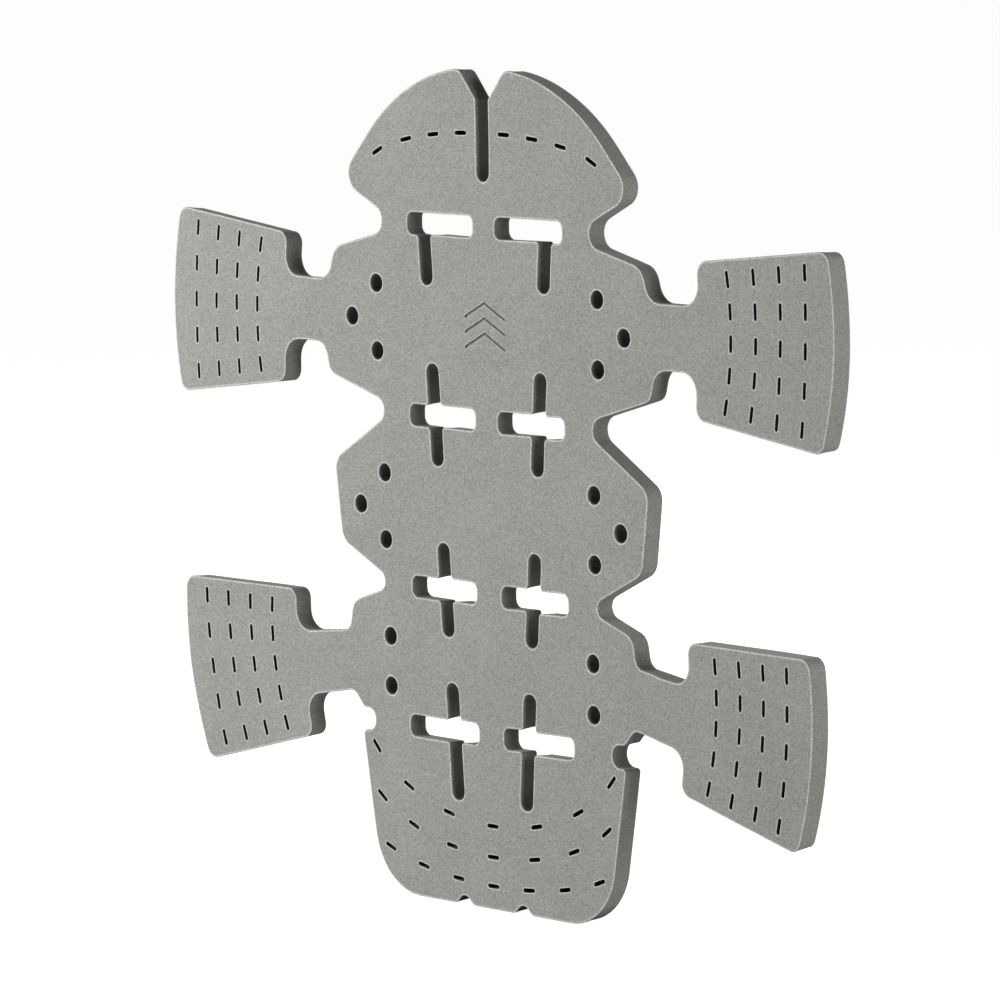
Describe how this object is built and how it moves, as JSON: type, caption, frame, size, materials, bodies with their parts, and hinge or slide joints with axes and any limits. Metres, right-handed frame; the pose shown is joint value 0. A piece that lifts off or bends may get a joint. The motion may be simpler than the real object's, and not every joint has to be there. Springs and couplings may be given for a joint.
{
  "type": "back protector",
  "caption": "Flat grey foam back protector with slots, slits and vent holes, five bending rows of panels and four perforated wings.",
  "frame": {"origin": "centre of the bounding box of the flat pad", "axes": "+X across the back towards the right of the marked face, +Z towards the collar, -Y out of the marked outer face and +Y towards the wearer"},
  "size_m": [0.4988, 0.0108, 0.417],
  "materials": {
    "foam": "matt closed-cell foam with a fine grain"
  },
  "bodies": {
    "collar_center": {"collar_center_panel": "foam", "collar_left_fold": "foam", "collar_right_fold": "foam"},
    "shoulder_center": {"shoulder_center_panel": "foam", "shoulder_left_fold": "foam", "shoulder_right_fold": "foam", "collar_shoulder_center_web": "foam"},
    "midback_center": {"midback_center_panel": "foam", "midback_left_fold": "foam", "midback_right_fold": "foam", "shoulder_midback_center_web": "foam", "midback_lumbar_center_web": "foam"},
    "lumbar_center": {"lumbar_center_panel": "foam", "lumbar_left_fold": "foam", "lumbar_right_fold": "foam", "lumbar_tailbone_center_web": "foam"},
    "tailbone_center": {"tailbone_center_panel": "foam", "tailbone_left_fold": "foam", "tailbone_right_fold": "foam"},
    "collar_left": {"collar_left_panel": "foam"},
    "collar_right": {"collar_right_panel": "foam"},
    "shoulder_left": {"shoulder_left_panel": "foam", "left_shoulder_wing_neck": "foam"},
    "shoulder_right": {"shoulder_right_panel": "foam", "right_shoulder_wing_neck": "foam"},
    "midback_left": {"midback_left_panel": "foam"},
    "midback_right": {"midback_right_panel": "foam"},
    "lumbar_left": {"lumbar_left_panel": "foam", "left_waist_wing_neck": "foam"},
    "lumbar_right": {"lumbar_right_panel": "foam", "right_waist_wing_neck": "foam"},
    "tailbone_left": {"tailbone_left_panel": "foam"},
    "tailbone_right": {"tailbone_right_panel": "foam"},
    "shoulder_midback_left_web_flex": {"shoulder_midback_left_web": "foam"},
    "shoulder_midback_right_web_flex": {"shoulder_midback_right_web": "foam"},
    "collar_shoulder_left_web_flex": {"collar_shoulder_left_web": "foam"},
    "collar_shoulder_right_web_flex": {"collar_shoulder_right_web": "foam"},
    "midback_lumbar_left_web_flex": {"midback_lumbar_left_web": "foam"},
    "midback_lumbar_right_web_flex": {"midback_lumbar_right_web": "foam"},
    "lumbar_tailbone_left_web_flex": {"lumbar_tailbone_left_web": "foam"},
    "lumbar_tailbone_right_web_flex": {"lumbar_tailbone_right_web": "foam"},
    "left_shoulder_wing": {"left_shoulder_wing": "foam"},
    "right_shoulder_wing": {"right_shoulder_wing": "foam"},
    "left_waist_wing": {"left_waist_wing": "foam"},
    "right_waist_wing": {"right_waist_wing": "foam"}
  },
  "joints": [
    {"name": "shoulder_bend", "type": "hinge", "parent": "midback_center", "child": "shoulder_center", "pos_m": [0, 0, 0.03533], "axis": [-1, 0, 0], "range_deg": [-15, 18], "stiffness_Nm_per_rad": 0.4, "deforming": ["shoulder_midback_center_web"]},
    {"name": "collar_bend", "type": "hinge", "parent": "shoulder_center", "child": "collar_center", "pos_m": [0, 0, 0.13112], "axis": [-1, 0, 0], "range_deg": [-15, 18], "stiffness_Nm_per_rad": 0.4, "deforming": ["collar_shoulder_center_web"]},
    {"name": "lumbar_bend", "type": "hinge", "parent": "midback_center", "child": "lumbar_center", "pos_m": [0, 0, -0.05117], "axis": [1, 0, 0], "range_deg": [-15, 18], "stiffness_Nm_per_rad": 0.4, "deforming": ["midback_lumbar_center_web"]},
    {"name": "tail_bend", "type": "hinge", "parent": "lumbar_center", "child": "tailbone_center", "pos_m": [0, 0, -0.12177], "axis": [1, 0, 0], "range_deg": [-15, 15], "stiffness_Nm_per_rad": 0.4, "deforming": ["lumbar_tailbone_center_web"]},
    {"name": "left_curl", "type": "hinge", "parent": "midback_center", "child": "midback_left", "pos_m": [-0.034, 0, -0.02937], "axis": [0.0693, 0, -0.9976], "range_deg": [-10, 18], "stiffness_Nm_per_rad": 1.5, "deforming": ["midback_left_fold"]},
    {"name": "right_curl", "type": "hinge", "parent": "midback_center", "child": "midback_right", "pos_m": [0.034, 0, -0.02937], "axis": [0.0693, 0, 0.9976], "range_deg": [-10, 18], "stiffness_Nm_per_rad": 1.5, "deforming": ["midback_right_fold"]},
    {"name": "shoulder_left_curl", "type": "hinge", "parent": "shoulder_center", "child": "shoulder_left", "pos_m": [-0.034, 0, -0.02937], "axis": [0.0693, 0, -0.9976], "range_deg": [-10, 18], "stiffness_Nm_per_rad": 0.3, "deforming": ["shoulder_left_fold"]},
    {"name": "shoulder_right_curl", "type": "hinge", "parent": "shoulder_center", "child": "shoulder_right", "pos_m": [0.034, 0, -0.02937], "axis": [0.0693, 0, 0.9976], "range_deg": [-10, 18], "stiffness_Nm_per_rad": 0.3, "deforming": ["shoulder_right_fold"]},
    {"name": "collar_left_curl", "type": "hinge", "parent": "collar_center", "child": "collar_left", "pos_m": [-0.034, 0, -0.02937], "axis": [0.0693, 0, -0.9976], "range_deg": [-10, 18], "stiffness_Nm_per_rad": 0.3, "deforming": ["collar_left_fold"]},
    {"name": "collar_right_curl", "type": "hinge", "parent": "collar_center", "child": "collar_right", "pos_m": [0.034, 0, -0.02937], "axis": [0.0693, 0, 0.9976], "range_deg": [-10, 18], "stiffness_Nm_per_rad": 0.3, "deforming": ["collar_right_fold"]},
    {"name": "lumbar_left_curl", "type": "hinge", "parent": "lumbar_center", "child": "lumbar_left", "pos_m": [-0.034, 0, -0.02937], "axis": [0.0693, 0, -0.9976], "range_deg": [-10, 18], "stiffness_Nm_per_rad": 0.3, "deforming": ["lumbar_left_fold"]},
    {"name": "lumbar_right_curl", "type": "hinge", "parent": "lumbar_center", "child": "lumbar_right", "pos_m": [0.034, 0, -0.02937], "axis": [0.0693, 0, 0.9976], "range_deg": [-10, 18], "stiffness_Nm_per_rad": 0.3, "deforming": ["lumbar_right_fold"]},
    {"name": "tailbone_left_curl", "type": "hinge", "parent": "tailbone_center", "child": "tailbone_left", "pos_m": [-0.034, 0, -0.02937], "axis": [0.0693, 0, -0.9976], "range_deg": [-10, 18], "stiffness_Nm_per_rad": 0.3, "deforming": ["tailbone_left_fold"]},
    {"name": "tailbone_right_curl", "type": "hinge", "parent": "tailbone_center", "child": "tailbone_right", "pos_m": [0.034, 0, -0.02937], "axis": [0.0693, 0, 0.9976], "range_deg": [-10, 18], "stiffness_Nm_per_rad": 0.3, "deforming": ["tailbone_right_fold"]},
    {"name": "shoulder_bend_left_web", "type": "hinge", "parent": "midback_left", "child": "shoulder_midback_left_web_flex", "pos_m": [0, 0, 0.03533], "axis": [-1, 0, 0], "range_deg": [-15, 18], "deforming": ["shoulder_midback_left_web"]},
    {"name": "shoulder_bend_right_web", "type": "hinge", "parent": "midback_right", "child": "shoulder_midback_right_web_flex", "pos_m": [0, 0, 0.03533], "axis": [-1, 0, 0], "range_deg": [-15, 18], "deforming": ["shoulder_midback_right_web"]},
    {"name": "collar_bend_left_web", "type": "hinge", "parent": "shoulder_left", "child": "collar_shoulder_left_web_flex", "pos_m": [0, 0, 0.13112], "axis": [-1, 0, 0], "range_deg": [-15, 18], "deforming": ["collar_shoulder_left_web"]},
    {"name": "collar_bend_right_web", "type": "hinge", "parent": "shoulder_right", "child": "collar_shoulder_right_web_flex", "pos_m": [0, 0, 0.13112], "axis": [-1, 0, 0], "range_deg": [-15, 18], "deforming": ["collar_shoulder_right_web"]},
    {"name": "lumbar_bend_left_web", "type": "hinge", "parent": "midback_left", "child": "midback_lumbar_left_web_flex", "pos_m": [0, 0, -0.05117], "axis": [1, 0, 0], "range_deg": [-15, 18], "deforming": ["midback_lumbar_left_web"]},
    {"name": "lumbar_bend_right_web", "type": "hinge", "parent": "midback_right", "child": "midback_lumbar_right_web_flex", "pos_m": [0, 0, -0.05117], "axis": [1, 0, 0], "range_deg": [-15, 18], "deforming": ["midback_lumbar_right_web"]},
    {"name": "tail_bend_left_web", "type": "hinge", "parent": "lumbar_left", "child": "lumbar_tailbone_left_web_flex", "pos_m": [0, 0, -0.12177], "axis": [1, 0, 0], "range_deg": [-15, 15], "deforming": ["lumbar_tailbone_left_web"]},
    {"name": "tail_bend_right_web", "type": "hinge", "parent": "lumbar_right", "child": "lumbar_tailbone_right_web_flex", "pos_m": [0, 0, -0.12177], "axis": [1, 0, 0], "range_deg": [-15, 15], "deforming": ["lumbar_tailbone_right_web"]},
    {"name": "left_shoulder_wing_fold", "type": "hinge", "parent": "shoulder_left", "child": "left_shoulder_wing", "pos_m": [-0.137, 0, 0.08443], "axis": [0, 0, -1], "range_deg": [-25, 75], "stiffness_Nm_per_rad": 0.15, "deforming": ["left_shoulder_wing_neck"]},
    {"name": "right_shoulder_wing_fold", "type": "hinge", "parent": "shoulder_right", "child": "right_shoulder_wing", "pos_m": [0.137, 0, 0.08443], "axis": [0, 0, 1], "range_deg": [-25, 75], "stiffness_Nm_per_rad": 0.15, "deforming": ["right_shoulder_wing_neck"]},
    {"name": "left_waist_wing_fold", "type": "hinge", "parent": "lumbar_left", "child": "left_waist_wing", "pos_m": [-0.1225, 0, -0.09517], "axis": [0.1253, 0, -0.9921], "range_deg": [-25, 75], "stiffness_Nm_per_rad": 0.15, "deforming": ["left_waist_wing_neck"]},
    {"name": "right_waist_wing_fold", "type": "hinge", "parent": "lumbar_right", "child": "right_waist_wing", "pos_m": [0.1225, 0, -0.09517], "axis": [0.1253, 0, 0.9921], "range_deg": [-25, 75], "stiffness_Nm_per_rad": 0.15, "deforming": ["right_waist_wing_neck"]}
  ],
  "couplings": [
    {"joint": "shoulder_left_curl", "follows": "left_curl", "ratio": 1},
    {"joint": "shoulder_right_curl", "follows": "right_curl", "ratio": 1},
    {"joint": "collar_left_curl", "follows": "left_curl", "ratio": 1},
    {"joint": "collar_right_curl", "follows": "right_curl", "ratio": 1},
    {"joint": "lumbar_left_curl", "follows": "left_curl", "ratio": 1},
    {"joint": "lumbar_right_curl", "follows": "right_curl", "ratio": 1},
    {"joint": "tailbone_left_curl", "follows": "left_curl", "ratio": 1},
    {"joint": "tailbone_right_curl", "follows": "right_curl", "ratio": 1},
    {"joint": "shoulder_bend_left_web", "follows": "shoulder_bend", "ratio": 1},
    {"joint": "shoulder_bend_right_web", "follows": "shoulder_bend", "ratio": 1},
    {"joint": "collar_bend_left_web", "follows": "collar_bend", "ratio": 1},
    {"joint": "collar_bend_right_web", "follows": "collar_bend", "ratio": 1},
    {"joint": "lumbar_bend_left_web", "follows": "lumbar_bend", "ratio": 1},
    {"joint": "lumbar_bend_right_web", "follows": "lumbar_bend", "ratio": 1},
    {"joint": "tail_bend_left_web", "follows": "tail_bend", "ratio": 1},
    {"joint": "tail_bend_right_web", "follows": "tail_bend", "ratio": 1}
  ]
}
